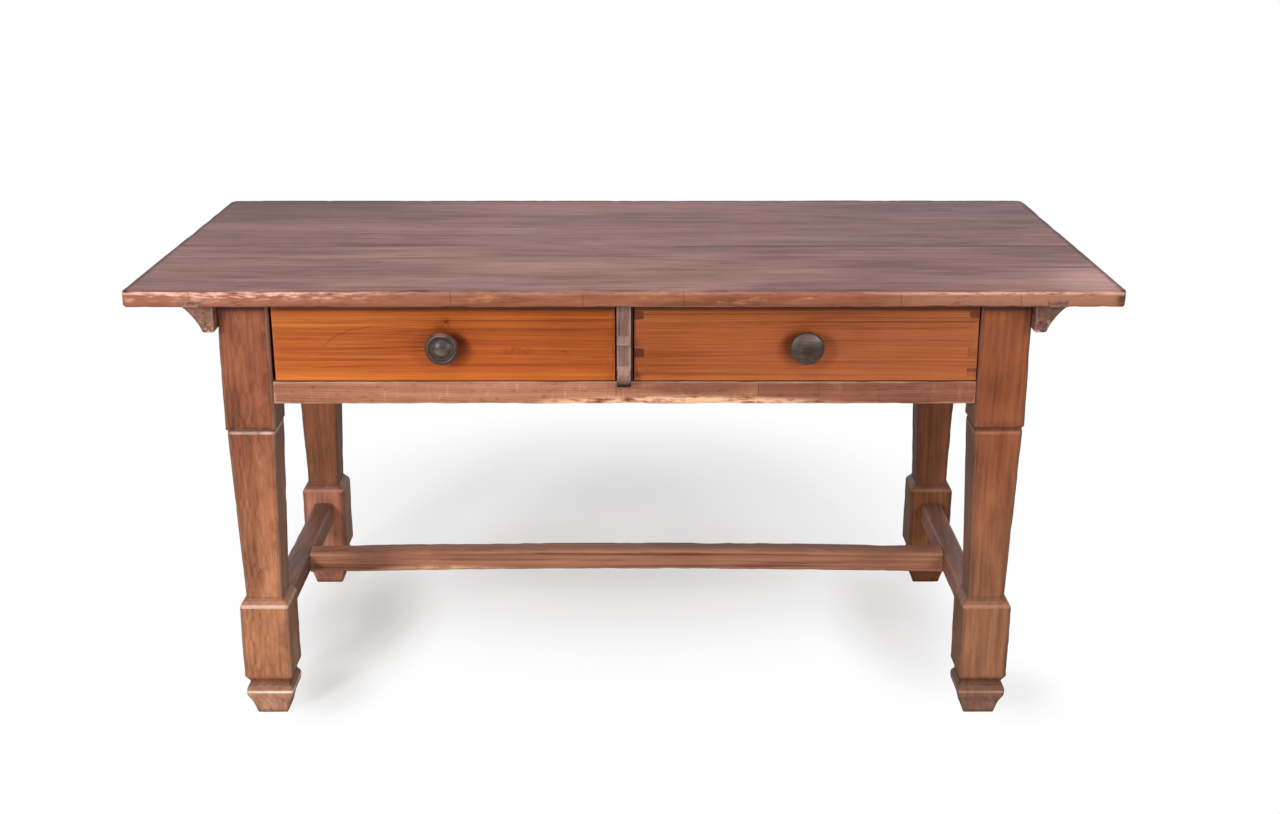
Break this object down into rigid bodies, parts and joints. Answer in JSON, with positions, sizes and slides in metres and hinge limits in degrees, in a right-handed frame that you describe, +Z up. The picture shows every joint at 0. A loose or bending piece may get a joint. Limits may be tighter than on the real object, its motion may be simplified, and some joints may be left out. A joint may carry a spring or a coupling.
{
  "type": "kitchen table",
  "caption": "Farmhouse kitchen table: plank top on dovetailed battens, tapered legs with moulded feet, H stretcher, and drawers with turned knobs that slide out.",
  "frame": {"origin": "on the floor under the middle of the top", "axes": "+X along the table to the right, +Y to the back so that the drawers open towards -Y, +Z up"},
  "size_m": [1.594, 0.776, 0.78],
  "materials": {
    "top_wood": "worn satin, grey-mauve brown",
    "frame_wood": "worn satin, reddish brown",
    "rail_wood": "worn satin, pinkish tan",
    "inner_wood": "raw, aged",
    "peg_wood": "raw end grain",
    "drawer_front_wood": "satin, orange brown pine",
    "drawer_box_wood": "raw, aged pine",
    "knob_wood": "dark, satin, turned",
    "nail_iron": "dull, rusty"
  },
  "bodies": {
    "frame": {"back_apron": "rail_wood", "back_apron_pegs": "peg_wood", "batten_left": "frame_wood", "batten_pegs": "peg_wood", "batten_right": "frame_wood", "divider_moulding": "frame_wood", "divider_post": "rail_wood", "drawer_guide_centre": "inner_wood", "drawer_guide_left": "inner_wood", "drawer_guide_right": "inner_wood", "drawer_runner_centre": "inner_wood", "drawer_runner_left": "inner_wood", "drawer_runner_right": "inner_wood", "end_stretcher_left": "frame_wood", "end_stretcher_pegs": "peg_wood", "end_stretcher_right": "frame_wood", "front_rail": "rail_wood", "leg_front_left": "frame_wood", "leg_front_right": "frame_wood", "leg_rear_left": "frame_wood", "leg_rear_right": "frame_wood", "long_stretcher": "frame_wood", "long_stretcher_pegs": "peg_wood", "side_apron_left": "rail_wood", "side_apron_pegs": "peg_wood", "side_apron_right": "rail_wood", "top_board_front": "top_wood", "top_board_rear": "top_wood"},
    "drawer_left": {"drawer_left_front": "drawer_front_wood", "drawer_left_side_left": "drawer_box_wood", "drawer_left_side_right": "drawer_box_wood", "drawer_left_back": "drawer_box_wood", "drawer_left_bottom": "drawer_box_wood", "drawer_left_bottom_nails": "nail_iron", "drawer_left_knob": "knob_wood"},
    "drawer_right": {"drawer_right_front": "drawer_front_wood", "drawer_right_side_left": "drawer_box_wood", "drawer_right_side_right": "drawer_box_wood", "drawer_right_back": "drawer_box_wood", "drawer_right_bottom": "drawer_box_wood", "drawer_right_bottom_nails": "nail_iron", "drawer_right_knob": "knob_wood"}
  },
  "joints": [
    {"name": "drawer_left_slide", "type": "slide", "parent": "frame", "child": "drawer_left", "axis": [0, -1, 0], "range_m": [0, 0.42]},
    {"name": "drawer_right_slide", "type": "slide", "parent": "frame", "child": "drawer_right", "axis": [0, -1, 0], "range_m": [0, 0.42]}
  ]
}
